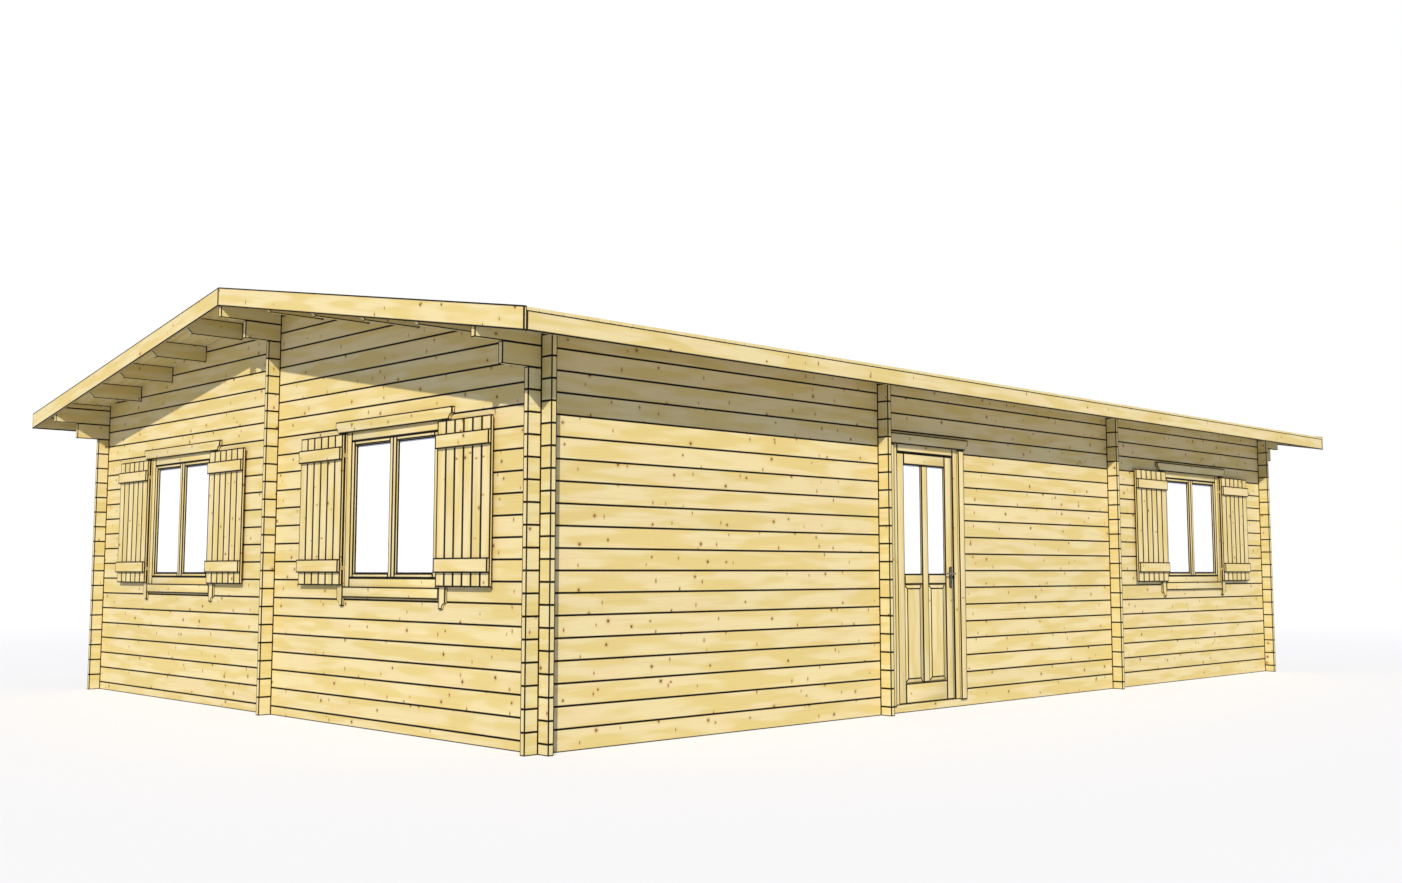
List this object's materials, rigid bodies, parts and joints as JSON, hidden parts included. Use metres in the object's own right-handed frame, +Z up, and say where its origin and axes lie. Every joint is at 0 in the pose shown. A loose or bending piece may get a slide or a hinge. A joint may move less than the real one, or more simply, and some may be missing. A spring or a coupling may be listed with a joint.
{
  "type": "log cabin",
  "caption": "Single-storey log cabin with a low gable roof, crossed log ends, casement windows with batten shutters, and a half-glazed panel door.",
  "frame": {"origin": "middle of the plan at ground level, under the lowest logs", "axes": "+X along the front wall and the ridge, towards the gable farther from the door; -Y out of the front wall, on the door side; +Z up"},
  "size_m": [11.35, 7.814, 3.3135],
  "materials": {
    "logs": "bare planed spruce, matt",
    "roof_boards": "bare planed spruce boards, matt",
    "roof_edges": "bare planed spruce, matt",
    "floor": "bare planed spruce, matt",
    "joinery": "bare sanded spruce, matt",
    "trim": "bare planed spruce, matt",
    "shutters": "bare planed spruce, matt",
    "glass": "white, smooth",
    "handle_metal": "dark grey steel, satin",
    "hinge_metal": "yellow zinc plate, satin"
  },
  "bodies": {
    "building": {"front_sill_log": "logs", "front_wall_left": "logs", "front_wall_right": "logs", "front_wall_top": "logs", "back_wall": "logs", "left_gable_wall": "logs", "right_gable_wall": "logs", "left_cross_wall": "logs", "right_cross_wall": "logs", "centre_wall": "logs", "front_purlins": "logs", "back_purlins": "logs", "front_roof_deck": "roof_boards", "back_roof_deck": "roof_boards", "left_barge_boards": "roof_edges", "right_barge_boards": "roof_edges", "front_fascia": "roof_edges", "back_fascia": "roof_edges", "floor_boards": "floor", "floor_joists": "floor", "front_window_frame": "joinery", "left_gable_window_frames": "joinery", "right_gable_window_frames": "joinery", "back_window_frames": "joinery", "front_window_trim": "trim", "left_gable_window_trim": "trim", "right_gable_window_trim": "trim", "back_window_trim": "trim", "window_glass": "glass", "hinge_pins": "hinge_metal", "right_gable_shutters": "shutters", "back_shutters": "shutters", "door_frame": "joinery", "door_trim": "trim"},
    "door": {"door_leaf": "joinery", "door_glass": "glass", "door_fittings": "handle_metal"},
    "handle": {"door_handle": "handle_metal"},
    "front_shutter_right": {"front_shutter_right": "shutters"},
    "front_shutter_left": {"front_shutter_left": "shutters"},
    "gable_shutter_1": {"gable_shutter_1": "shutters"},
    "gable_shutter_2": {"gable_shutter_2": "shutters"},
    "gable_shutter_3": {"gable_shutter_3": "shutters"},
    "gable_shutter_4": {"gable_shutter_4": "shutters"}
  },
  "joints": [
    {"name": "door_swing", "type": "hinge", "parent": "building", "child": "door", "pos_m": [-1.5465, -3.3395, 1.066], "axis": [0, 0, 1], "range_deg": [0, 95]},
    {"name": "lever_press", "type": "hinge", "parent": "door", "child": "handle", "pos_m": [-0.836, -3.367, 1.095], "axis": [0, -1, 0], "range_deg": [0, 40], "stiffness_Nm_per_rad": 1.5, "springref_deg": -28.65},
    {"name": "front_shutter_right_swing", "type": "hinge", "parent": "building", "child": "front_shutter_right", "pos_m": [4.073, -3.432, 1.568], "axis": [0, 0, -1], "range_deg": [0, 180]},
    {"name": "front_shutter_left_swing", "type": "hinge", "parent": "building", "child": "front_shutter_left", "pos_m": [2.841, -3.432, 1.568], "axis": [0, 0, 1], "range_deg": [0, 180]},
    {"name": "gable_shutter_1_swing", "type": "hinge", "parent": "building", "child": "gable_shutter_1", "pos_m": [-5.182, 2.323, 1.568], "axis": [0, 0, 1], "range_deg": [0, 180]},
    {"name": "gable_shutter_2_swing", "type": "hinge", "parent": "building", "child": "gable_shutter_2", "pos_m": [-5.182, 1.091, 1.568], "axis": [0, 0, -1], "range_deg": [0, 180]},
    {"name": "gable_shutter_3_swing", "type": "hinge", "parent": "building", "child": "gable_shutter_3", "pos_m": [-5.182, -1.091, 1.568], "axis": [0, 0, 1], "range_deg": [0, 180]},
    {"name": "gable_shutter_4_swing", "type": "hinge", "parent": "building", "child": "gable_shutter_4", "pos_m": [-5.182, -2.323, 1.568], "axis": [0, 0, -1], "range_deg": [0, 180]}
  ]
}
